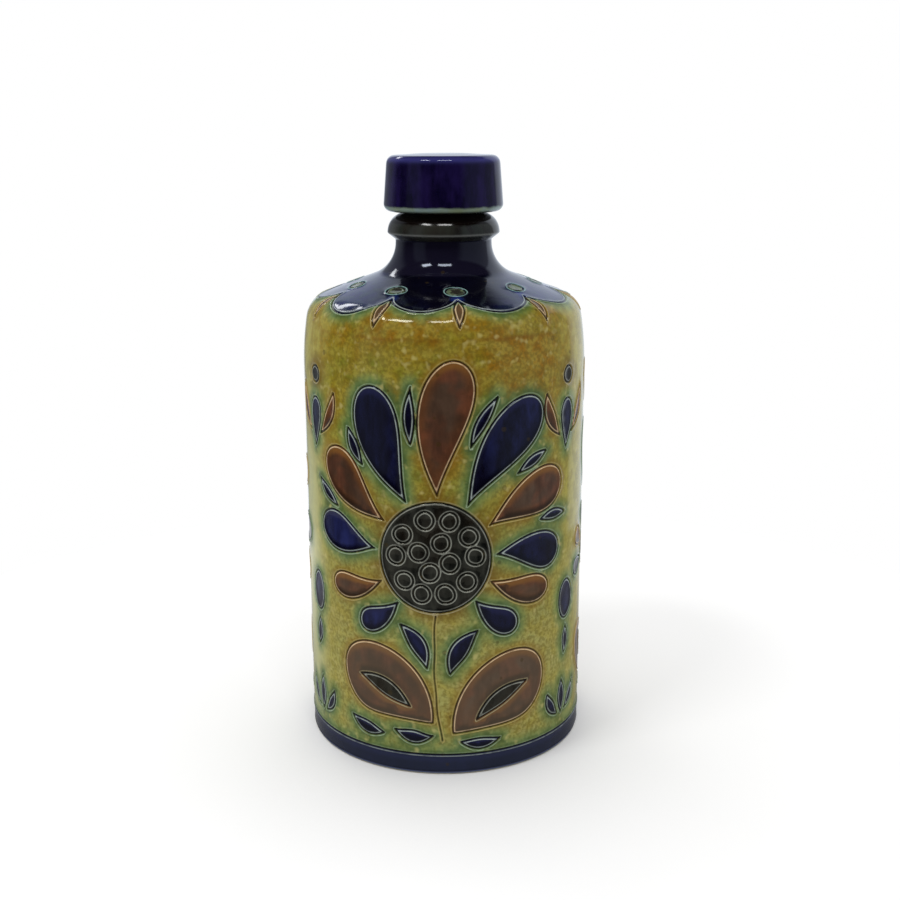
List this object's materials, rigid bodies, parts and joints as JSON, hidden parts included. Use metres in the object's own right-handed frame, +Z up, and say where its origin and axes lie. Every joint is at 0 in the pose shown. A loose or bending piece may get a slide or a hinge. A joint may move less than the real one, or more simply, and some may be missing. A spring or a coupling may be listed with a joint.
{
  "type": "pottery flask",
  "caption": "Glazed stoneware flask with incised ornament and a ceramic stopper on a tapered cork",
  "frame": {"origin": "where the flask's centre line meets the surface that its foot ring stands on", "axes": "+Z up along the centre line; the flask is round, and -Y faces the picture's camera"},
  "size_m": [0.096, 0.096, 0.2],
  "materials": {
    "flask_glaze": "glossy mottled ochre glaze with cobalt blue and brown painted ornament in incised outlines, bare stoneware at the foot",
    "cap_glaze": "deep glossy cobalt glaze, pale green along the lower edge",
    "cork": "natural bark cork, matte, with small dark pores"
  },
  "bodies": {
    "flask": {"flask_body": "flask_glaze"},
    "stopper": {"stopper_cap": "cap_glaze", "stopper_cork": "cork"}
  },
  "joints": [
    {"name": "stopper_pull", "type": "slide", "parent": "flask", "child": "stopper", "axis": [0, 0, 1], "range_m": [0, 0.03]}
  ]
}
